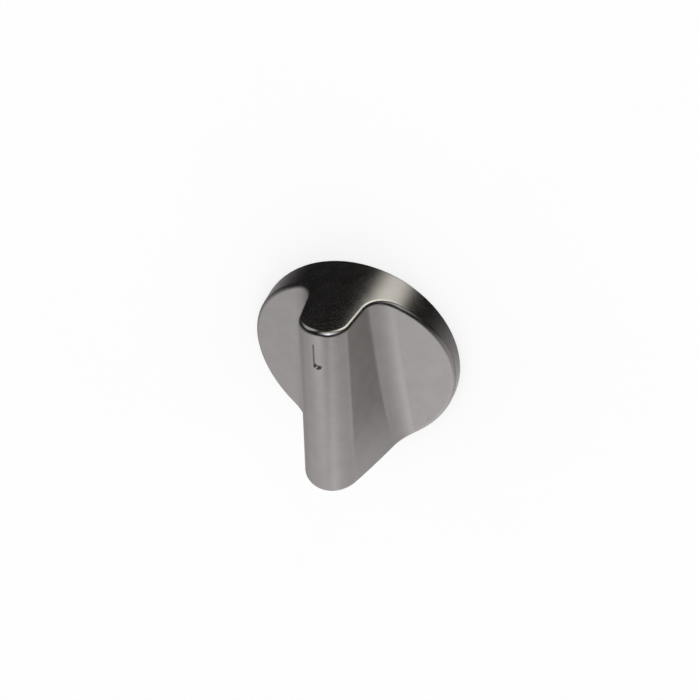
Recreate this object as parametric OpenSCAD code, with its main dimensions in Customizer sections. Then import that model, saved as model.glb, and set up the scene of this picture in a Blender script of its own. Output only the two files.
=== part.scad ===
// Stove knob: a cast shell with a bar grip, a moulded hub that takes a
// D-shaped valve stem, and a spring clip round the hub's split end.
// Millimetres. +Z is the turning axis and points out of the appliance,
// +Y is the way the pointer groove points, z = 0 is the back rim.

/* [Skirt] */
// Diameter of the round skirt at its back rim
skirt_d = 48; // [47:0.5:49]
// Draft of the side wall, in degrees
wall_draft = 3; // [2.5:0.5:3.5]
// Radius of the rounded edge between side wall and front
edge_r = 1.1; // [0.8:0.1:1.2]
// Radius of the small rounding on the back rim
rim_r = 0.4; // [0.3:0.1:0.5]

/* [Grip] */
// Height of the grip's crest above the back rim
crest_h = 24; // [23.6:0.1:24.2]
// Half width of the crest at the pointer end
crest_w_point = 5.5; // [5.3:0.1:5.6]
// Half width of the crest at the tail end
crest_w_tail = 6.2; // [6.1:0.1:6.4]
// Angle of the flanks from upright at the pointer end, in degrees
flank_point = 7; // [6.5:0.5:8]
// Angle of the flanks from upright at the tail end, in degrees
flank_tail = 22.5; // [22:0.5:23]
// Radius of the hollow fillet beside the grip at the pointer end
fillet_point = 6.2; // [6:0.1:6.4]
// Radius of the hollow fillet beside the grip at the tail end
fillet_tail = 6.2; // [6:0.1:6.4]
// Height at which the two front faces would meet, at the pointer end
face_point = 10.5; // [10.4:0.1:10.7]
// Height at which the two front faces would meet, at the tail end
face_tail = 6; // [5.9:0.1:6.1]
// Slope of the front faces down to each side, in degrees
face_slope = 11; // [11:0.5:11.5]

/* [Pointer groove] */
// Width of the pointer groove
groove_w = 1.8; // [1.7:0.1:2.2]
// Distance from the axis to the groove's square outer end
groove_out = 19.5; // [19.2:0.1:19.8]
// Distance from the axis to the groove's round inner end
groove_in = 13.3; // [13:0.1:13.8]
// Depth of the groove below the crest
groove_depth = 0.6; // [0.4:0.1:0.7]

/* [Shell] */
// Wall thickness of the casting
wall_t = 1.6; // [1.5:0.1:1.6]
// Distance of the two rivet posts from the axis
post_y = 14; // [13.8:0.1:14.2]
// Radius of the rivet posts
post_r = 2.2; // [2:0.1:2.3]
// Radius of the rivet's neck, through the hub plate
neck_r = 1.2; // [1:0.1:1.3]

/* [Hub] */
// Radius of the round lead-in for the stem
lead_r = 3.75; // [3.65:0.05:3.9]
// Radius of the round part of the D socket
socket_r = 3.05; // [3.05:0.05:3.1]
// Distance from the axis to the socket's flat
socket_flat = 1.6; // [1.5:0.1:1.8]
// Outer radius of the hub
hub_r = 5; // [4.9:0.1:5]
// Height of the hub's mouth above the back rim
hub_z0 = 0.8; // [0.6:0.1:1]
// Height of the hub's split end
hub_z1 = 14; // [13.8:0.1:14.2]
// Height at which the D section starts
socket_z = 4; // [3.8:0.1:4.4]
// Width of the two slots that split the hub's end
slot_w = 1.2; // [1:0.1:1.4]
// Thickness of the ribs
rib_t = 1.4; // [1.2:0.1:1.6]

/* [Clip] */
// Thickness of the clip's spring strip
clip_t = 0.5; // [0.4:0.1:0.5]
// Width of the clip's spring strip
clip_w = 3.4; // [3:0.1:3.6]
// Angle left open in the clip's ring, in degrees
clip_gap = 44; // [40:1:50]

/* [Hidden] */
R = skirt_d / 2;
td = tan(wall_draft);
plate_z0 = 1.2;          // underside of the hub plate
plate_z1 = 3;            // top of the hub plate, against the posts
plate_x = 6.5;           // half width of the hub plate
plate_r = 20.4;          // radius of the plate's two ends
seat_r = hub_r - 0.3;    // floor of the clip's seat in the hub
clip_z = 9.4;            // lower edge of the clip
gap = 0.3;               // room between ribs and casting
fa = 96;                 // sides of the round parts

// ---- the grip's cross-section, at distance y along the grip ----
// k runs from 0 at the tail to 1 at the pointer end. The crest is one arc
// that runs tangent into straight flanks, and a hollow fillet leads each
// flank into a sloping front face.
function mix(a, b, k) = a + (b - a) * k;
function sect(y) =
    let (k = (y / R + 1) / 2,
         al = mix(flank_tail, flank_point, k),
         w = mix(crest_w_tail, crest_w_point, k),
         rf = mix(fillet_tail, fillet_point, k),
         zf = mix(face_tail, face_point, k),
         m = 1 / tan(al), s = tan(face_slope),
         r = w / cos(al), zc = crest_h - r, zw = zc + r * sin(al),
         xi = (zw + m * w - zf) / (m - s),
         xe = xi + rf * tan((90 - al - face_slope) / 2) * cos(face_slope),
         ze = zf - s * xe)
    [r, zc, 90 - al, rf, xe + rf * sin(face_slope), ze + rf * cos(face_slope)];

// A point of the section moved inward by e, as [x, z, normal x, normal z].
// Zone 0 is the crest arc, 1 the flank, 2 the fillet, 3 the face.
function crest_pt(q, u, e) =
    let (a = q[2] * u) [(q[0] - e) * sin(a), q[1] + (q[0] - e) * cos(a), sin(a), cos(a)];
function fillet_pt(q, u, e) =
    let (a = mix(q[2], face_slope, u))
    [q[4] - (q[3] + e) * sin(a), q[5] - (q[3] + e) * cos(a), sin(a), cos(a)];
function face_pt(q, x, e) =
    let (p = fillet_pt(q, 1, e)) [x, p[1] - tan(face_slope) * (x - p[0]), p[2], p[3]];
function line_pt(l, y, e, xo) =
    let (q = sect(y))
    l[0] == 0 ? crest_pt(q, l[1], e) :
    l[0] == 1 ? mix(crest_pt(q, 1, e), fillet_pt(q, 0, e), l[1]) :
    l[0] == 2 ? fillet_pt(q, l[1], e) :
    face_pt(q, mix(fillet_pt(q, 1, e)[0], xo, l[1]), e);

n_crest = 6;
n_fillet = 6;
n_face = 7;
half_lines = concat([for (i = [1:n_crest]) [0, i / n_crest]],
                    [[1, 0.5]],
                    [for (i = [0:n_fillet]) [2, i / n_fillet]]);

// ---- outer form: rounded front of the casting ----
// Everything is laid out on the surface that lies edge_r inside the skin.
// The skin is that surface plus its normals, and at the rim the normals
// swing from the front's to the side wall's, which rounds the edge.
e = edge_r;
Re = R - e / cos(wall_draft);
x_side = let (p = fillet_pt(sect(0), 1, e), s = tan(face_slope))
    (Re - td * (p[1] + s * p[0])) / (1 - s * td);
face_lines = [for (i = [1:n_face - 1]) [3, 1 - pow(1 - i / n_face, 2)]];
lines = concat([[0, 0]], half_lines, face_lines);
nl = len(lines);         // lines on one side, the outermost one not counted
rows = 16;

function off_rim(l, y) =
    let (p = line_pt(l, y, e, x_side), c = Re - p[1] * td) p[0] * p[0] + y * y - c * c;
function rim_y(l, a, b, n = 20) =
    n == 0 ? (a + b) / 2 :
    let (c = (a + b) / 2) off_rim(l, c) < 0 ? rim_y(l, c, b, n - 1) : rim_y(l, a, c, n - 1);
function core_pt(l, y) =
    let (p = line_pt(l, y, e, x_side)) [[p[0], y, p[1]], [p[2], 0, p[3]]];
function side_pt(f, c = 20, n = 8) =
    let (y = c * sin(f), p = face_pt(sect(y), c * cos(f), e))
    n == 0 ? [[p[0], y, p[1]], [p[2], 0, p[3]]] : side_pt(f, Re - p[1] * td, n - 1);
function core_line(l) =
    let (a = rim_y(l, 0, R), b = rim_y(l, 0, -R)) [for (j = [0:rows]) core_pt(l, mix(a, b, j / rows))];
right = [for (l = lines) core_line(l)];
last = right[nl - 1];
f_up = atan2(last[0][0].y, last[0][0].x) / 2;
f_down = atan2(last[rows][0].y, last[rows][0].x) / 2;
edge_line = [for (j = [0:rows]) side_pt(mix(f_up, f_down, j / rows))];
half = concat(right, [edge_line]);
function flip(v) = [[-v[0].x, v[0].y, v[0].z], [-v[1].x, v[1].y, v[1].z]];
grid = concat([for (i = [nl:-1:1]) [for (v = half[i]) flip(v)]], half);
cols = 2 * nl;           // index of the last line
rim = concat([for (i = [0:cols]) [i, 0]], [for (j = [1:rows - 1]) [cols, j]],
             [for (i = [cols:-1:0]) [i, rows]], [for (j = [rows - 1:-1:1]) [0, j]]);
nr = len(rim);
arc_steps = 4;

function skin(v) = v[0] + e * v[1];
function wall_n(p) = let (c = norm([p.x, p.y])) [p.x / c * cos(wall_draft), p.y / c * cos(wall_draft), sin(wall_draft)];
function swing(a, b, t) = let (o = acos(a * b)) (sin((1 - t) * o) * a + sin(t * o) * b) / sin(o);
function ring(t) = [for (g = rim) let (v = grid[g[0]][g[1]]) v[0] + e * swing(v[1], wall_n(v[0]), t)];
r_last = ring(1);
r_prev = ring(1 - 1 / arc_steps);
r_over = [for (i = [0:nr - 1]) r_prev[i] + 1.2 * (r_last[i] - r_prev[i])];
r_out = [for (p = r_over) let (c = norm([p.x, p.y])) [p.x * (c + 3) / c, p.y * (c + 3) / c, p.z]];
r_low = [for (p = r_out) [p.x, p.y, -2]];

module front_form() {
    w = cols + 1;
    top = [for (j = [0:rows]) for (i = [0:cols]) skin(grid[i][j])];
    rings = concat([for (b = [1:arc_steps - 1]) ring(b / arc_steps)], [r_over, r_out, r_low]);
    pts = concat(top, [for (q = rings) for (p = q) p]);
    nt = len(top);
    function at(q, i) = q == 0 ? rim[i % nr][1] * w + rim[i % nr][0] : nt + (q - 1) * nr + i % nr;
    quads_top = [for (j = [0:rows - 1]) for (i = [0:cols - 1])
        let (a = j * w + i) each [[a, a + 1, a + w + 1], [a, a + w + 1, a + w]]];
    quads_ring = [for (q = [0:len(rings) - 1]) for (i = [0:nr - 1])
        each [[at(q, i), at(q + 1, i), at(q + 1, i + 1)], [at(q, i), at(q + 1, i + 1), at(q, i + 1)]]];
    cap = [[for (i = [nr - 1:-1:0]) at(len(rings), i)]];
    polyhedron(concat(pts), concat(quads_top, quads_ring, cap), convexity = 6);
}

// ---- the same front moved inward by t, for hollows and ribs ----
module inner_form(t) {
    ls = concat([[0, 0]], half_lines, [[3, 1]]);
    n = len(ls);
    yo = R + 1;
    nrow = 12;
    w = 2 * n - 1;
    top = [for (j = [0:nrow]) let (y = mix(yo, -yo, j / nrow))
        for (i = [-n + 1:n - 1]) let (p = line_pt(ls[abs(i)], y, t, R + 1)) [i < 0 ? -p[0] : p[0], y, p[1]]];
    nt = len(top);
    pts = concat(top, [[-R - 1, yo, -2], [R + 1, yo, -2], [R + 1, -yo, -2], [-R - 1, -yo, -2]]);
    quads = [for (j = [0:nrow - 1]) for (i = [0:w - 2])
        let (a = j * w + i) each [[a, a + 1, a + w + 1], [a, a + w + 1, a + w]]];
    front = concat([nt, nt + 1], [for (i = [w - 1:-1:0]) i]);
    back = concat([nt + 2, nt + 3], [for (i = [0:w - 1]) nrow * w + i]);
    side_r = concat([nt + 1, nt + 2], [for (j = [nrow:-1:0]) j * w + w - 1]);
    side_l = concat([nt + 3, nt], [for (j = [0:nrow]) j * w]);
    polyhedron(pts, concat(quads, [front, back, side_r, side_l, [nt + 3, nt + 2, nt + 1, nt]]), convexity = 6);
}

// Round skirt with its draft and the small rounding on the back rim
module skirt_form() {
    h = crest_h + 2;
    rotate_extrude($fn = fa)
        polygon(concat([[0, 0], [R - rim_r, 0]],
            [for (a = [-60:30:0]) [R - rim_r + rim_r * cos(a), rim_r + rim_r * sin(a)]],
            [[R - h * td, h], [0, h]]));
}

// Inside of the casting: a round hollow under the front, with the wall's draft
module hollow_form() {
    h = crest_h + 2;
    intersection() {
        translate([0, 0, -1]) cylinder(h = h + 1, r1 = R - wall_t + td, r2 = R - wall_t - h * td, $fn = fa);
        inner_form(wall_t);
    }
}

module groove_form() {
    translate([0, 0, crest_h - groove_depth]) linear_extrude(3) union() {
        translate([0, groove_in + groove_w / 2]) circle(d = groove_w, $fn = 48);
        translate([-groove_w / 2, groove_in + groove_w / 2])
            square([groove_w, groove_out - groove_in - groove_w / 2]);
    }
}

// Post, neck and peened head that hold the hub plate
module rivet() {
    translate([0, 0, plate_z1]) cylinder(h = crest_h - 1 - plate_z1, r = post_r, $fn = 48);
    translate([0, 0, plate_z0 - 0.1]) cylinder(h = plate_z1 - plate_z0 + 0.2, r = neck_r, $fn = 48);
    translate([0, 0, plate_z0 - 0.7]) cylinder(h = 0.7, r1 = 1.5, r2 = 2.1, $fn = 48);
}

module knob_shell() {
    color("silver") union() {
        difference() {
            intersection() { skirt_form(); front_form(); }
            hollow_form();
            groove_form();
        }
        for (s = [-1, 1]) translate([0, s * post_y, 0]) rivet();
    }
}

// Slab across the grip, cut to the shape of the hollow
module rib_slab(y0, y1, x, z1) {
    translate([-x, y0, plate_z1 - 0.5]) cube([2 * x, y1 - y0, z1 - plate_z1 + 0.5]);
}

module hub_insert() {
    color("dimgray") difference() {
        union() {
            // plate
            intersection() {
                translate([0, 0, plate_z0]) cylinder(h = plate_z1 - plate_z0, r = plate_r, $fn = fa);
                translate([-plate_x, -R, 0]) cube([2 * plate_x, 2 * R, 5]);
            }
            // hub
            translate([0, 0, hub_z0]) cylinder(h = hub_z1 - hub_z0, r = hub_r, $fn = fa);
            // ribs, all kept clear of the casting
            intersection() {
                inner_form(wall_t + gap);
                union() for (s = [0, 1]) mirror([0, s, 0]) {
                    rib_slab(hub_r - 0.6, post_y - post_r - 0.3, rib_t / 2, clip_z - 0.4);
                    for (y = [8.2, 18.3])
                        rib_slab(y - rib_t / 2, y + rib_t / 2, plate_x, 18.5);
                }
            }
        }
        // round lead-in, then the D section up to the open end
        translate([0, 0, hub_z0 - 1]) cylinder(h = socket_z - hub_z0 + 1, r = lead_r, $fn = fa);
        difference() {
            translate([0, 0, socket_z - 0.5]) cylinder(h = 20, r = socket_r, $fn = fa);
            translate([-5, socket_flat, socket_z]) cube([10, 5, 20]);
        }
        // slots that let the end flex
        translate([-10, -slot_w / 2, 6.5]) cube([20, slot_w, 20]);
        // seat of the clip
        translate([0, 0, clip_z - 0.1]) difference() {
            cylinder(h = clip_w + 0.2, r = hub_r + 1, $fn = fa);
            translate([0, 0, -1]) cylinder(h = clip_w + 2.2, r = seat_r, $fn = fa);
        }
        // holes for the rivet necks
        for (s = [-1, 1]) translate([0, s * post_y, 0]) cylinder(h = 6, r = neck_r + 0.05, $fn = 48);
    }
}

module stem_clip() {
    color("gainsboro") translate([0, 0, clip_z]) rotate([0, 0, clip_gap / 2 - 90])
        rotate_extrude(angle = 360 - clip_gap, $fn = fa)
            translate([seat_r, 0]) square([clip_t, clip_w]);
}

knob_shell();
hub_insert();
stem_clip();
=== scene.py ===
import math

import bmesh
import bpy
import numpy as np
from mathutils import Matrix, Vector
from mathutils.geometry import delaunay_2d_cdt

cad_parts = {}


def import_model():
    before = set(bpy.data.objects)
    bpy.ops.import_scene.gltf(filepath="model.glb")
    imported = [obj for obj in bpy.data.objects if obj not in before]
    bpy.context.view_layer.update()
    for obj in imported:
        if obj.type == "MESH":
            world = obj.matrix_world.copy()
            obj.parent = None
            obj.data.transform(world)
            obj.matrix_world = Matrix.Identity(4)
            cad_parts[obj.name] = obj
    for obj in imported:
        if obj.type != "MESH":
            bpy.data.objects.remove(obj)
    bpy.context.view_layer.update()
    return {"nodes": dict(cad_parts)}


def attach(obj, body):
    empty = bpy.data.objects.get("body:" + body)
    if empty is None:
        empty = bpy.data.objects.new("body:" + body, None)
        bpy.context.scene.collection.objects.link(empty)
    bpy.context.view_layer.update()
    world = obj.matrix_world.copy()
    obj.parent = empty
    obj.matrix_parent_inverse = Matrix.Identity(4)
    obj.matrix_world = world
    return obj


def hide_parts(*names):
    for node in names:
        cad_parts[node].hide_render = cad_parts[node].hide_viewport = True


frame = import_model()
MM = 0.001


# ---------------------------------------------------------------- sizes, mm
# The same sizes as in the CAD. +Z is the turning axis, +Y the pointer's way.
R = 24.0
DRAFT = math.radians(3)
TD = math.tan(DRAFT)
EDGE_R = 1.1
RIM_R = 0.4
CREST_H = 24.0
CREST_W = (6.2, 5.5)      # tail, pointer end
FLANK = (22.5, 7.0)
FILLET = (6.2, 6.2)
FACE = (6.0, 10.5)
SLOPE = math.radians(11)
WALL = 1.6
GROOVE_W, GROOVE_OUT, GROOVE_IN, GROOVE_D = 1.8, 19.5, 13.3, 0.6
POST_Y, POST_R, NECK_R = 14.0, 2.2, 1.2
PLATE_Z0, PLATE_Z1 = 1.2, 3.0


def mix(a, b, k):
    return a + (b - a) * k


# ------------------------------------------------- cross-section of the grip
def sect(y):
    k = (y / R + 1) / 2
    al = math.radians(mix(*FLANK, k))
    w, rf, zf = mix(*CREST_W, k), mix(*FILLET, k), mix(*FACE, k)
    m, s = 1 / math.tan(al), math.tan(SLOPE)
    r = w / math.cos(al)
    zc = CREST_H - r
    zw = zc + r * math.sin(al)
    xi = (zw + m * w - zf) / (m - s)
    xe = xi + rf * math.tan((math.pi / 2 - al - SLOPE) / 2) * math.cos(SLOPE)
    ze = zf - s * xe
    return r, zc, math.pi / 2 - al, rf, xe + rf * math.sin(SLOPE), ze + rf * math.cos(SLOPE)


def crest_pt(q, u, e):
    a = q[2] * u
    return np.array([(q[0] - e) * math.sin(a), q[1] + (q[0] - e) * math.cos(a), math.sin(a), math.cos(a)])


def fillet_pt(q, u, e):
    a = mix(q[2], SLOPE, u)
    return np.array([q[4] - (q[3] + e) * math.sin(a), q[5] - (q[3] + e) * math.cos(a), math.sin(a), math.cos(a)])


def face_pt(q, x, e):
    p = fillet_pt(q, 1, e)
    return np.array([x, p[1] - math.tan(SLOPE) * (x - p[0]), p[2], p[3]])


def line_pt(line, y, e, xo):
    """x, z and the section's normal on one of the aligned lines, moved inward by e."""
    zone, u = line
    q = sect(y)
    if zone == 0:
        return crest_pt(q, u, e)
    if zone == 1:
        return mix(crest_pt(q, 1, e), fillet_pt(q, 0, e), u)
    if zone == 2:
        return fillet_pt(q, u, e)
    return face_pt(q, mix(fillet_pt(q, 1, e)[0], xo, u), e)


def wall_n(p):
    c = math.hypot(p[0], p[1])
    return np.array([p[0] / c * math.cos(DRAFT), p[1] / c * math.cos(DRAFT), math.sin(DRAFT)])


def unit(v):
    return v / np.linalg.norm(v)


def swing(a, b, t):
    o = math.acos(max(-1.0, min(1.0, float(a @ b))))
    if o < 1e-6:
        return a
    return (math.sin((1 - t) * o) * a + math.sin(t * o) * b) / math.sin(o)


N_CREST, N_FLANK, N_FILLET, N_FACE, ROWS = 22, 7, 20, 13, 96
HALF = ([(0, i / N_CREST) for i in range(N_CREST + 1)]
        + [(1, i / N_FLANK) for i in range(1, N_FLANK)]
        + [(2, i / N_FILLET) for i in range(N_FILLET + 1)]
        + [(3, 1 - (1 - i / N_FACE) ** 2) for i in range(1, N_FACE)])


def front_grid(base, e, rw):
    """The casting's front as a grid. base is how far it lies inside the skin, e the radius of its
    rounded edge and rw the radius of the side wall at z = 0. Gives the points e inside it, the
    section's normals and the surface's true normals, each as [column][row]."""
    re = rw - e / math.cos(DRAFT)
    t = base + e
    p = fillet_pt(sect(0), 1, t)
    s = math.tan(SLOPE)
    x_side = (re - TD * (p[1] + s * p[0])) / (1 - s * TD)

    def off(line, y):
        q = line_pt(line, y, t, x_side)
        return q[0] ** 2 + y * y - (re - q[1] * TD) ** 2

    def rim_y(line, a, b):
        for _ in range(44):
            c = (a + b) / 2
            if off(line, c) < 0:
                a = c
            else:
                b = c
        return (a + b) / 2

    def pack(q, y, dx, dz):
        core = np.array([q[0], y, q[1]])
        flat = np.array([q[2], 0.0, q[3]])
        true = unit(np.array([q[2], -(q[2] * dx + q[3] * dz), q[3]]))
        return core, flat, true

    def slopes(line, y):
        h = 0.02
        a, b = line_pt(line, y - h, base, x_side), line_pt(line, y + h, base, x_side)
        return (b[0] - a[0]) / (2 * h), (b[1] - a[1]) / (2 * h)

    cols = []
    for line in HALF:
        a, b = rim_y(line, 0, R), rim_y(line, 0, -R)
        col = []
        for j in range(ROWS + 1):
            y = mix(a, b, j / ROWS)
            col.append(pack(line_pt(line, y, t, x_side), y, *slopes(line, y)))
        cols.append(col)
    last = cols[-1]
    f_up = math.atan2(last[0][0][1], last[0][0][0]) / 2
    f_down = math.atan2(last[-1][0][1], last[-1][0][0]) / 2
    col = []
    for j in range(ROWS + 1):
        f = mix(f_up, f_down, j / ROWS)
        c = 20.0
        for _ in range(12):
            y = c * math.sin(f)
            q = face_pt(sect(y), c * math.cos(f), t)
            c = re - q[1] * TD
        h = 0.02
        dz = (face_pt(sect(y + h), q[0], base)[1] - face_pt(sect(y - h), q[0], base)[1]) / (2 * h)
        col.append(pack(q, y, 0.0, dz))
    cols.append(col)
    mirror = np.array([-1.0, 1.0, 1.0])
    left = [[tuple(v * mirror for v in pt) for pt in c] for c in cols[:0:-1]]
    return left + cols


class Build:
    """Points, faces and point normals of one piece, in mm."""

    def __init__(self):
        self.v, self.n, self.f, self.m = [], [], [], []
        self.mat = 0

    def point(self, p, n=(0, 0, 0)):
        self.v.append(tuple(float(c) for c in p))
        self.n.append(tuple(float(c) for c in n))
        return len(self.v) - 1

    def face(self, *ids):
        self.f.append(ids)
        self.m.append(self.mat)

    def band(self, a, b, closed=True):
        n = len(a)
        for i in range(n if closed else n - 1):
            j = (i + 1) % n
            self.face(a[i], a[j], b[j], b[i])

    def fill(self, outer, inner, surf, step, clear, keep):
        """Fills the room between a loop of points and a ring inside it on a surface z = surf(x, y)."""
        xy = [Vector(self.v[i][:2]) for i in outer] + [Vector(self.v[i][:2]) for i in inner]
        ids = list(outer) + list(inner)
        no, ni = len(outer), len(inner)
        edges = [(i, (i + 1) % no) for i in range(no)]
        edges += [(no + i, no + (i + 1) % ni) for i in range(ni)]
        lo = np.min([v[:] for v in xy[:no]], axis=0)
        hi = np.max([v[:] for v in xy[:no]], axis=0)
        ring = np.array([v[:] for v in xy])
        nx, ny = int((hi[0] - lo[0]) / step) + 1, int((hi[1] - lo[1]) / step) + 1
        for a in range(nx):
            for b in range(ny):
                p = np.array([lo[0] + (a + 0.5 + 0.25 * (b % 2)) * step, lo[1] + (b + 0.5) * step])
                if not keep(p[0], p[1]):
                    continue
                if np.min(np.hypot(*(ring - p).T)) < clear:
                    continue
                if not inside(p, ring[:no]):
                    continue
                xy.append(Vector(p))
                z, n = surf(p[0], p[1])
                ids.append(self.point((p[0], p[1], z), n))
        _, _, tris, ov, _, _ = delaunay_2d_cdt(xy, edges, [list(range(no))], 1, 1e-7)
        for t in tris:
            orig = [ov[k][0] if ov[k] else None for k in t]
            if None in orig:
                continue
            c = sum((xy[k] for k in orig), Vector((0, 0))) / 3
            if inside(np.array(c), ring[no:]):
                continue
            self.face(*[ids[k] for k in orig])

    def cap(self, ring, surf, step, clear, keep):
        """Fills the inside of a ring on a surface z = surf(x, y)."""
        xy = [Vector(self.v[i][:2]) for i in ring]
        ids = list(ring)
        n0 = len(ring)
        edges = [(i, (i + 1) % n0) for i in range(n0)]
        pts = np.array([v[:] for v in xy])
        lo, hi = pts.min(0), pts.max(0)
        for a in range(int((hi[0] - lo[0]) / step) + 1):
            for b in range(int((hi[1] - lo[1]) / step) + 1):
                p = np.array([lo[0] + (a + 0.5) * step, lo[1] + (b + 0.5) * step])
                if keep(p[0], p[1]) and inside(p, pts) and np.min(np.hypot(*(pts - p).T)) > clear:
                    xy.append(Vector(p))
                    z, n = surf(p[0], p[1])
                    ids.append(self.point((p[0], p[1], z), n))
        _, _, tris, ov, _, _ = delaunay_2d_cdt(xy, edges, [list(range(n0))], 1, 1e-7)
        for t in tris:
            self.face(*[ids[ov[k][0]] for k in t])

    def object(self, name, mats, body="root"):
        mesh = bpy.data.meshes.new(name)
        mesh.from_pydata([tuple(c * MM for c in p) for p in self.v], [], self.f)
        for m in mats:
            mesh.materials.append(m)
        mesh.polygons.foreach_set("material_index", self.m)
        mesh.validate()
        bm = bmesh.new()
        bm.from_mesh(mesh)
        bmesh.ops.recalc_face_normals(bm, faces=bm.faces)
        bm.to_mesh(mesh)
        bm.free()
        mesh.shade_smooth()
        mesh.update()
        if any(any(n) for n in self.n):
            mesh.normals_split_custom_set_from_vertices(self.n)
        obj = bpy.data.objects.new(name, mesh)
        bpy.context.scene.collection.objects.link(obj)
        return obj


def inside(p, poly):
    x, y = p
    a, b = poly, np.roll(poly, -1, axis=0)
    up = (a[:, 1] > y) != (b[:, 1] > y)
    with np.errstate(divide="ignore", invalid="ignore"):
        xs = (b[:, 0] - a[:, 0]) * (y - a[:, 1]) / (b[:, 1] - a[:, 1]) + a[:, 0]
    return bool(np.sum(up & (x < xs)) % 2)


# ------------------------------------------------------ the crest's surface
def crest_surf(x, y, base=0.0):
    def z_at(yy):
        q = sect(yy)
        r = q[0] - base
        return q[1] + math.sqrt(r * r - x * x), r
    z, r = z_at(y)
    h = 0.02
    dy = (z_at(y + h)[0] - z_at(y - h)[0]) / (2 * h)
    dx = -x / (z - sect(y)[1])
    return z, unit(np.array([-dx, -dy, 1.0]))


# --------------------------------------------- rings round the pointer groove
def groove_ring(d, corner=0.25, ends=28, sides=30):
    """Points and outward directions on the groove's outline, moved outward by d."""
    hw, rc = GROOVE_W / 2, corner
    cy = GROOVE_IN + hw
    out = []
    for i in range(ends + 1):                      # round inner end
        a = math.pi + math.pi * i / ends
        out.append((hw * 0 + (hw + d) * math.cos(a), cy + (hw + d) * math.sin(a), math.cos(a), math.sin(a)))
    y0, y1 = cy, GROOVE_OUT - rc
    for i in range(1, sides):                      # right side, upward
        out.append((hw + d, mix(y0, y1, i / sides), 1.0, 0.0))
    for i in range(9):                             # right outer corner
        a = math.pi / 2 * i / 8
        out.append((hw - rc + (rc + d) * math.cos(a), y1 + (rc + d) * math.sin(a), math.cos(a), math.sin(a)))
    for i in range(1, 10):                         # square outer end
        out.append((mix(hw - rc, rc - hw, i / 10), GROOVE_OUT + d, 0.0, 1.0))
    for i in range(9):                             # left outer corner
        a = math.pi / 2 + math.pi / 2 * i / 8
        out.append((rc - hw + (rc + d) * math.cos(a), y1 + (rc + d) * math.sin(a), math.cos(a), math.sin(a)))
    for i in range(1, sides):                      # left side, downward
        out.append((-hw - d, mix(y1, y0, i / sides), -1.0, 0.0))
    return out


def groove_dist(x, y):
    hw = GROOVE_W / 2
    cy = GROOVE_IN + hw
    if y < cy:
        return math.hypot(x, y - cy) - hw
    return max(abs(x) - hw, y - GROOVE_OUT)


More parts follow.
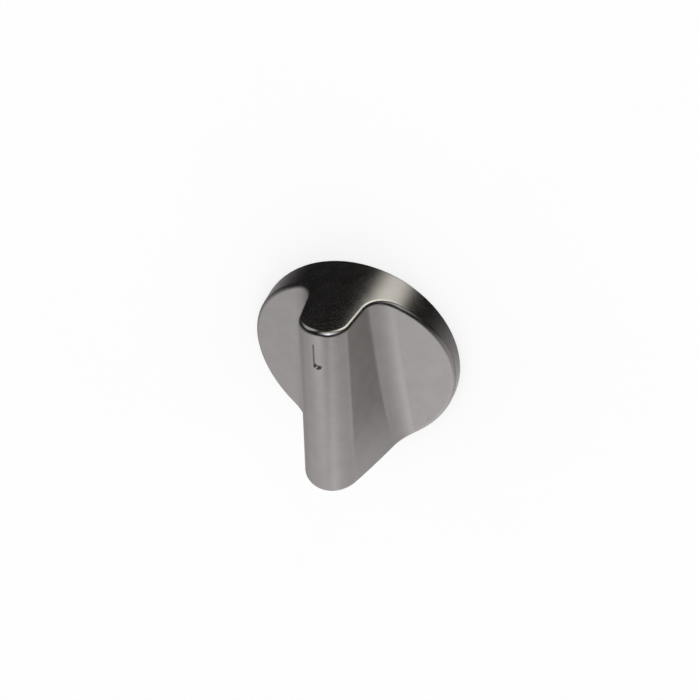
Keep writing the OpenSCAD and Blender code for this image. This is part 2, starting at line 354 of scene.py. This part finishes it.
def shell_mesh():
    b = Build()
    grid = front_grid(0.0, EDGE_R, R)
    cols = len(grid) - 1
    mid = cols // 2
    ids = [[b.point(p + EDGE_R * flat, true) for p, flat, true in col] for col in grid]

    # room for the groove: a block of grid cells on the crest
    def ys(i, j):
        return b.v[ids[i][j]][1]
    reach = next(k for k in range(1, 40) if abs(b.v[ids[mid + k][10]][0]) > 2.0)
    j0 = max(j for j in range(ROWS) if ys(mid, j) > GROOVE_OUT + 0.7)
    j1 = min(j for j in range(ROWS) if ys(mid, j) < GROOVE_IN - 0.8)
    i0, i1 = mid - reach, mid + reach
    for i in range(cols):
        for j in range(ROWS):
            if not (i0 <= i < i1 and j0 <= j < j1):
                b.face(ids[i][j], ids[i + 1][j], ids[i + 1][j + 1], ids[i][j + 1])
    loop = ([ids[i][j0] for i in range(i0, i1)] + [ids[i1][j] for j in range(j0, j1)]
            + [ids[i][j1] for i in range(i1, i0, -1)] + [ids[i0][j] for j in range(j1, j0, -1)])
    # the groove's profile: rounded lip, drafted wall, small radius at the floor
    lip, foot, floor_z = 0.12, 0.16, CREST_H - GROOVE_D
    rings = []

    def ring(d, h=None, up=None, ang=0.0):
        row = []
        for x, y, ox, oy in groove_ring(d):
            z, n = crest_surf(x, y)
            if h is not None:
                z -= h
                n = unit(math.cos(ang) * n - math.sin(ang) * np.array([ox, oy, 0.0]))
            if up is not None:
                z = floor_z + up
                n = unit(np.array([-math.sin(ang) * ox, -math.sin(ang) * oy, math.cos(ang)]))
            row.append(b.point((x, y, z), n))
        rings.append(row)

    ring(0.34)
    ring(0.2)
    for k in range(0, 7):
        t = math.radians(80) * k / 6
        ring(0.1 - lip * math.sin(t), h=lip * (1 - math.cos(t)), ang=t)
    b.fill(loop, rings[0], crest_surf, 0.3, 0.16, lambda x, y: groove_dist(x, y) > 0.45)
    for k in range(6, -1, -1):
        t = math.radians(80) * k / 6
        ring(-0.215 + foot * math.sin(t), up=foot * (1 - math.cos(t)), ang=t)
    for k in range(1, len(rings)):
        # the groove's wall bands take the darker metal: painted shade of the recess
        b.mat = 1 if k >= 5 else 0
        b.band(rings[k - 1], rings[k])
    b.mat = 0
    b.cap(rings[-1], lambda x, y: (floor_z, (0, 0, 1)), 0.3, 0.12, lambda x, y: True)

    # rim of the grid, then the rounded edge and the side wall
    def border(g):
        return ([g[i][0] for i in range(cols + 1)] + [g[cols][j] for j in range(1, ROWS)]
                + [g[i][ROWS] for i in range(cols, -1, -1)] + [g[0][j] for j in range(ROWS - 1, 0, -1)])
    rim = border(grid)
    prev = border(ids)
    steps = 12
    for k in range(1, steps + 1):
        row = []
        for core, flat, true in rim:
            w = wall_n(core)
            row.append(b.point(core + EDGE_R * swing(flat, w, k / steps), swing(true, w, k / steps)))
        b.band(prev, row)
        prev = row
    tops = [np.array(b.v[i]) for i in prev]
    phi = [math.atan2(p[1], p[0]) for p in tops]
    nrm = [wall_n(p) for p in tops]
    foot_r = R - RIM_R + RIM_R * math.cos(DRAFT)
    foot_z = RIM_R + RIM_R * math.sin(DRAFT)
    for k in range(1, 15):
        row = []
        for p, f, n in zip(tops, phi, nrm):
            u = k / 14
            r = mix(math.hypot(p[0], p[1]), foot_r, u)
            row.append(b.point((r * math.cos(f), r * math.sin(f), mix(p[2], foot_z, u)), n))
        b.band(prev, row)
        prev = row

    def hoop(r, z, ang):
        """A ring at radius r and height z whose normal leans ang up from outward."""
        nonlocal prev
        row = [b.point((r * math.cos(f), r * math.sin(f), z),
                       (math.cos(ang) * math.cos(f), math.cos(ang) * math.sin(f), math.sin(ang))) for f in phi]
        b.band(prev, row)
        prev = row
    for k in range(1, 8):
        a = mix(DRAFT, -math.pi / 2, k / 7)
        hoop(R - RIM_R + RIM_R * math.cos(a), RIM_R + RIM_R * math.sin(a), a)
    r_in, lip_in = R - WALL, 0.2
    for k in range(0, 6):
        a = mix(-math.pi / 2, -math.pi, k / 5)
        hoop(r_in + lip_in + lip_in * math.cos(a), lip_in + lip_in * math.sin(a), a)

    # inside of the casting
    e2 = 0.9
    inner = front_grid(WALL, e2, r_in)
    iid = [[b.point(p + e2 * flat, -true) for p, flat, true in col] for col in inner]
    irim = border(inner)
    ends = [core + e2 * wall_n(core) for core, flat, true in irim]
    phi2 = [math.atan2(p[1], p[0]) for p in ends]
    for k in range(1, 11):
        u = k / 10
        row = []
        for f, f2, p in zip(phi, phi2, ends):
            g = mix(f, f + (f2 - f + math.pi) % (2 * math.pi) - math.pi, u)
            z = mix(lip_in, p[2], u)
            r = mix(r_in, math.hypot(p[0], p[1]), u)
            row.append(b.point((r * math.cos(g), r * math.sin(g), z),
                               (-math.cos(DRAFT) * math.cos(g), -math.cos(DRAFT) * math.sin(g), -math.sin(DRAFT))))
        b.band(prev, row)
        prev = row
    for k in range(1, 8):
        row = []
        for core, flat, true in irim:
            w = wall_n(core)
            row.append(b.point(core + e2 * swing(w, flat, k / 8), -swing(w, true, k / 8)))
        b.band(prev, row)
        prev = row
    b.band(prev, border(iid))

    # the two posts grow out of the hollow's ceiling
    blocks = []
    for s in (1, -1):
        cy = s * POST_Y
        reach = next(k for k in range(1, 40) if abs(b.v[iid[mid + k][ROWS // 2 - s * 30]][0]) > 2.75)
        js = [j for j in range(ROWS) if abs(b.v[iid[mid][j]][1] - cy) < 3.1]
        ja, jb = js[0], js[-1]
        blocks.append((mid - reach, mid + reach, ja, jb, cy))
    for i in range(cols):
        for j in range(ROWS):
            if not any(a <= i < c and d <= j < e for a, c, d, e, _ in blocks):
                b.face(iid[i][j], iid[i + 1][j], iid[i + 1][j + 1], iid[i][j + 1])
    for a, c, d, e, cy in blocks:
        loop = ([iid[i][d] for i in range(a, c)] + [iid[c][j] for j in range(d, e)]
                + [iid[i][e] for i in range(c, a, -1)] + [iid[a][j] for j in range(e, d, -1)])
        n = 64

        def hoop2(r, z, ang, top=False):
            row = []
            for i in range(n):
                f = 2 * math.pi * i / n
                x, y = r * math.cos(f), cy + r * math.sin(f)
                zz, nn = z, (math.cos(ang) * math.cos(f), math.cos(ang) * math.sin(f), math.sin(ang))
                if top:
                    zc, nc = crest_surf(x, y, WALL)
                    zz = zc - z
                    nn = unit(math.cos(ang) * -nc + math.sin(ang) * np.array([math.cos(f), math.sin(f), 0]))
                row.append(b.point((x, y, zz), nn))
            return row
        ra = 0.35
        prev = hoop2(POST_R + ra, 0.0, 0.0, True)
        b.fill(loop, prev, lambda x, y: (crest_surf(x, y, WALL)[0], -crest_surf(x, y, WALL)[1]), 0.5, 0.22,
               lambda x, y: math.hypot(x, y - cy) > POST_R + ra + 0.15)
        for k in range(1, 6):
            t = math.pi / 2 * k / 5
            row = hoop2(POST_R + ra - ra * math.sin(t), ra * (1 - math.cos(t)), t, True)
            b.band(prev, row)
            prev = row
        for r, z, ang in ([(POST_R, z, 0.0) for z in (18.5, 16, 13, 10, 7, 4.5, PLATE_Z1 + 0.3)]
                          + [(POST_R - 0.3 + 0.3 * math.cos(t), PLATE_Z1 + 0.3 - 0.3 * math.sin(t), -t)
                             for t in (0.5, 1.05, math.pi / 2)]
                          + [(NECK_R + 0.12, PLATE_Z1, -math.pi / 2)]
                          + [(NECK_R, PLATE_Z1 - 0.12, 0.0), (NECK_R, PLATE_Z0 + 0.05, 0.0)]
                          + [(NECK_R + 0.15, PLATE_Z0, math.pi / 2), (1.95, PLATE_Z0, math.pi / 2)]
                          + [(1.95 + 0.15 * math.sin(t), PLATE_Z0 - 0.15 + 0.15 * math.cos(t), math.pi / 2 - t)
                             for t in (0.6, 1.2, math.pi / 2 + 0.35)]
                          + [(1.62, 0.62, -1.0), (1.4, 0.53, -1.25), (1.1, 0.5, -1.5), (0.55, 0.52, -1.6), (0.2, 0.54, -1.6)]):
            row = hoop2(r, z, ang)
            b.band(prev, row)
            prev = row
        b.face(*prev)
    return b


# ------------------------------------------------------------------ materials
def tree(mat):
    mat.use_nodes = True
    nt = mat.node_tree
    for n in list(nt.nodes):
        nt.nodes.remove(n)
    out = nt.nodes.new("ShaderNodeOutputMaterial")
    bsdf = nt.nodes.new("ShaderNodeBsdfPrincipled")
    nt.links.new(bsdf.outputs[0], out.inputs[0])
    return nt, bsdf


def node(nt, kind, **kw):
    n = nt.nodes.new(kind)
    for k, v in kw.items():
        setattr(n, k, v)
    return n


def noise(nt, coord, scale, detail=3.0, rough=0.5, stretch=None):
    vec = coord
    if stretch:
        mp = node(nt, "ShaderNodeMapping")
        mp.inputs["Scale"].default_value = stretch
        nt.links.new(coord, mp.inputs["Vector"])
        vec = mp.outputs[0]
    t = node(nt, "ShaderNodeTexNoise")
    t.inputs["Scale"].default_value = scale
    t.inputs["Detail"].default_value = detail
    t.inputs["Roughness"].default_value = rough
    nt.links.new(vec, t.inputs["Vector"])
    return t.outputs["Fac"]


def spread(nt, value, a, b, lo, hi):
    m = node(nt, "ShaderNodeMapRange", interpolation_type="SMOOTHSTEP")
    m.inputs["From Min"].default_value = a
    m.inputs["From Max"].default_value = b
    m.inputs["To Min"].default_value = lo
    m.inputs["To Max"].default_value = hi
    nt.links.new(value, m.inputs["Value"])
    return m.outputs["Result"]


def math_node(nt, op, a, b=None):
    m = node(nt, "ShaderNodeMath", operation=op)
    for s, v in zip(m.inputs, (a, b)):
        if v is None:
            continue
        if isinstance(v, (int, float)):
            s.default_value = v
        else:
            nt.links.new(v, s)
    return m.outputs[0]


def blend(nt, fac, a, b):
    m = node(nt, "ShaderNodeMix", data_type="RGBA")
    nt.links.new(fac, m.inputs["Factor"])
    for s, v in zip((m.inputs[6], m.inputs[7]), (a, b)):
        if isinstance(v, tuple):
            s.default_value = v + (1.0,)
        else:
            nt.links.new(v, s)
    return m.outputs[2]


def satin_metal(name, colour, rough, groove=False):
    mat = bpy.data.materials.new(name)
    nt, bsdf = tree(mat)
    co = node(nt, "ShaderNodeTexCoord").outputs["Object"]
    soft = noise(nt, co, 260, 4.0, 0.55)          # cloudy tone of the finish, about 4 mm
    fine = noise(nt, co, 2600, 3.0, 0.6)          # blasted grain, about 0.4 mm
    speck = noise(nt, co, 1300, 1.0, 0.4)         # rare small marks
    marks = spread(nt, speck, 0.72, 0.80, 0.0, 1.0)
    dark = tuple(c * 0.94 for c in colour)
    tone = blend(nt, spread(nt, soft, 0.35, 0.65, 0.0, 1.0), dark, colour)
    worn = tuple(c * 0.72 for c in colour)
    base = blend(nt, math_node(nt, "MULTIPLY", marks, 0.5), tone, worn)
    nt.links.new(base, bsdf.inputs["Base Color"])
    r1 = spread(nt, soft, 0.3, 0.7, rough - 0.015, rough + 0.02)
    r2 = math_node(nt, "ADD", r1, spread(nt, fine, 0.3, 0.7, -0.02, 0.02))
    nt.links.new(r2, bsdf.inputs["Roughness"])
    bsdf.inputs["Metallic"].default_value = 1.0
    bump = node(nt, "ShaderNodeBump")
    bump.inputs["Strength"].default_value = 0.12
    bump.inputs["Distance"].default_value = 0.00002
    nt.links.new(fine, bump.inputs["Height"])
    nt.links.new(bump.outputs[0], bsdf.inputs["Normal"])
    return mat


def moulded_plastic(name, colour):
    mat = bpy.data.materials.new(name)
    nt, bsdf = tree(mat)
    co = node(nt, "ShaderNodeTexCoord").outputs["Object"]
    grain = noise(nt, co, 1800, 3.0, 0.6)
    cloud = noise(nt, co, 180, 3.0, 0.5)
    lighter = tuple(c * 1.35 for c in colour)
    nt.links.new(blend(nt, spread(nt, cloud, 0.35, 0.65, 0.0, 1.0), colour, lighter), bsdf.inputs["Base Color"])
    nt.links.new(spread(nt, grain, 0.3, 0.7, 0.42, 0.56), bsdf.inputs["Roughness"])
    bump = node(nt, "ShaderNodeBump")
    bump.inputs["Strength"].default_value = 0.25
    bump.inputs["Distance"].default_value = 0.00003
    nt.links.new(grain, bump.inputs["Height"])
    nt.links.new(bump.outputs[0], bsdf.inputs["Normal"])
    return mat


metal = satin_metal("satin_metal", (0.48, 0.46, 0.45), 0.205)
# a darker copy of the satin metal for the groove's walls: painted shade in the recess
groove_shade_metal = satin_metal("groove_wall_painted_shade", (0.45, 0.43, 0.42), 0.24)
plastic = moulded_plastic("hub_plastic", (0.030, 0.030, 0.032))
spring = satin_metal("spring_steel", (0.46, 0.46, 0.47), 0.24)

shell = shell_mesh().object("shell", [metal, groove_shade_metal])
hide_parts("knob_shell")
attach(shell, "root")


def carry(name, mat):
    o = frame["nodes"][name]
    o.data.materials.clear()
    o.data.materials.append(mat)


carry("hub_insert", plastic)
carry("stem_clip", spring)


# ---------------------------------------------------------------------- stage
def stage_floor():
    mesh = bpy.data.meshes.new("floor")
    bm = bmesh.new()
    n, size = 96, 1.6
    rings = [0.0, 0.05, 0.1, 0.2, 0.4, 0.8, size]
    rows = []
    for r in rings[1:]:
        rows.append([bm.verts.new((r * math.cos(2 * math.pi * i / n), r * math.sin(2 * math.pi * i / n), -0.00002)) for i in range(n)])
    bm.faces.new(rows[0])
    for a, c in zip(rows, rows[1:]):
        for i in range(n):
            bm.faces.new((a[i], c[i], c[(i + 1) % n], a[(i + 1) % n]))
    bmesh.ops.recalc_face_normals(bm, faces=bm.faces)
    if sum(f.normal.z for f in bm.faces) < 0:
        bmesh.ops.reverse_faces(bm, faces=bm.faces)
    bm.to_mesh(mesh)
    bm.free()
    o = bpy.data.objects.new("floor", mesh)
    bpy.context.scene.collection.objects.link(o)
    mat = bpy.data.materials.new("pale_floor")
    nt, bsdf = tree(mat)
    co = node(nt, "ShaderNodeTexCoord").outputs["Object"]
    cloud = noise(nt, co, 18, 3.0, 0.5)
    nt.links.new(blend(nt, cloud, (0.46, 0.46, 0.46), (0.49, 0.49, 0.49)), bsdf.inputs["Base Color"])
    bsdf.inputs["Roughness"].default_value = 0.9
    bsdf.inputs["Specular IOR Level"].default_value = 0.1
    bsdf.inputs["Emission Color"].default_value = (1, 1, 1, 1)
    bsdf.inputs["Emission Strength"].default_value = 0.71
    # clear from below, so that the knob's hollow side can be looked at
    out = next(n for n in nt.nodes if n.type == "OUTPUT_MATERIAL")
    pick = node(nt, "ShaderNodeMixShader")
    nt.links.new(node(nt, "ShaderNodeNewGeometry").outputs["Backfacing"], pick.inputs[0])
    nt.links.new(bsdf.outputs[0], pick.inputs[1])
    nt.links.new(node(nt, "ShaderNodeBsdfTransparent").outputs[0], pick.inputs[2])
    nt.links.new(pick.outputs[0], out.inputs[0])
    mesh.materials.append(mat)
    o.visible_glossy = False
    return o


stage_floor()


def world():
    w = bpy.data.worlds.new("studio")
    bpy.context.scene.world = w
    w.use_nodes = True
    # light is found by the rays themselves, so each kind of ray meets its own backdrop
    w.cycles.sampling_method = "NONE"
    nt = w.node_tree
    for n in list(nt.nodes):
        nt.nodes.remove(n)
    out = nt.nodes.new("ShaderNodeOutputWorld")
    co = node(nt, "ShaderNodeTexCoord").outputs["Generated"]
    nv = node(nt, "ShaderNodeVectorMath", operation="NORMALIZE")
    nt.links.new(co, nv.inputs[0])
    xyz = node(nt, "ShaderNodeSeparateXYZ")
    nt.links.new(nv.outputs[0], xyz.inputs[0])
    azimuth = math_node(nt, "ARCTAN2", xyz.outputs[1], xyz.outputs[0])
    height = math_node(nt, "ARCSINE", xyz.outputs[2])

    def soft_side(value, full, soft):
        """1 within full degrees of the panel's middle, fading to 0 over the next soft degrees."""
        return spread(nt, value, math.radians(full), math.radians(full + soft), 1.0, 0.0)

    def panel(az, az_full, az_soft, el, el_full, el_soft, power):
        """A soft-edged panel round a direction given in degrees of azimuth and height."""
        turn = node(nt, "ShaderNodeMath", operation="WRAP")
        turn.inputs[1].default_value = math.pi
        turn.inputs[2].default_value = -math.pi
        nt.links.new(math_node(nt, "SUBTRACT", azimuth, math.radians(az)), turn.inputs[0])
        a = soft_side(math_node(nt, "ABSOLUTE", turn.outputs[0]), az_full, az_soft)
        lift = math_node(nt, "ABSOLUTE", math_node(nt, "SUBTRACT", height, math.radians(el)))
        return math_node(nt, "MULTIPLY", math_node(nt, "MULTIPLY", a, soft_side(lift, el_full, el_soft)), power)

    grey = panel(-108, 5, 85, 30, 19, 65, 0.69)           # large softbox above and behind the knob
    for part in (panel(-85, 1, 112, -52, 3, 44, 0.54),    # pale table in front of it
                 panel(-57, 13, 26, 11, 28, 11, 0.42),
                 panel(129, 12, 11, -5, 15, 11, 0.66),
                 panel(-17, 1, 24, -1, 1, 52, 0.46),
                 panel(-120, 10, 40, 60, 8, 18, 0.08),
                 panel(62, 0, 45, 31, 1, 41, 1.65)):      # window behind the camera
        grey = math_node(nt, "ADD", grey, part)
    grey = math_node(nt, "ADD", grey, 0.016)
    warm = panel(66, 4, 22, -30, 1, 27, 2.2)              # its reflection off the table
    cool = panel(50, 2, 14, 46, 2, 14, 2.1)               # small lamp beside the camera
    tint = node(nt, "ShaderNodeCombineColor")
    for i, (k, kw, kc) in enumerate(((1.0, 1.0, 0.93), (0.985, 0.985, 1.02), (0.985, 0.90, 1.40))):
        c = math_node(nt, "ADD", math_node(nt, "MULTIPLY", grey, k), math_node(nt, "MULTIPLY", warm, kw))
        c = math_node(nt, "ADD", c, math_node(nt, "MULTIPLY", cool, kc))
        nt.links.new(c, tint.inputs[i])
    studio = node(nt, "ShaderNodeBackground")
    nt.links.new(tint.outputs[0], studio.inputs["Color"])
    plain = node(nt, "ShaderNodeBackground")
    plain.inputs["Color"].default_value = (0.98, 0.98, 0.98, 1)
    lp = node(nt, "ShaderNodeLightPath")
    seen = math_node(nt, "MULTIPLY", lp.outputs["Is Camera Ray"], 0.41)
    nt.links.new(math_node(nt, "ADD", seen, 0.6), plain.inputs["Strength"])
    pick = node(nt, "ShaderNodeMixShader")
    nt.links.new(lp.outputs["Is Glossy Ray"], pick.inputs[0])
    nt.links.new(plain.outputs[0], pick.inputs[1])
    nt.links.new(studio.outputs[0], pick.inputs[2])
    nt.links.new(pick.outputs[0], out.inputs[0])


world()


# --------------------------------------------------------------------- camera
cam = bpy.data.objects.new("camera", bpy.data.cameras.new("camera"))
bpy.context.scene.collection.objects.link(cam)
back = Vector((0.27685035, 0.63033615, 0.72527941)).normalized()
right = Vector((0, 0, 1)).cross(back).normalized()
up = back.cross(right)
roll = math.radians(150.1047)
cx = right * math.cos(roll) - up * math.sin(roll)
cy = right * math.sin(roll) + up * math.cos(roll)
cam.matrix_world = Matrix(((cx.x, cy.x, back.x, 0.059349),
                           (cx.y, cy.y, back.y, 0.138833),
                           (cx.z, cy.z, back.z, 0.160579),
                           (0, 0, 0, 1)))
cam.data.sensor_width = 36.0
cam.data.lens = 49.632
cam.data.shift_x = -0.5 / 700
cam.data.shift_y = 0.5 / 700
cam.data.clip_start, cam.data.clip_end = 0.005, 20.0
bpy.context.scene.camera = cam
bpy.context.scene.view_settings.view_transform = "Standard"
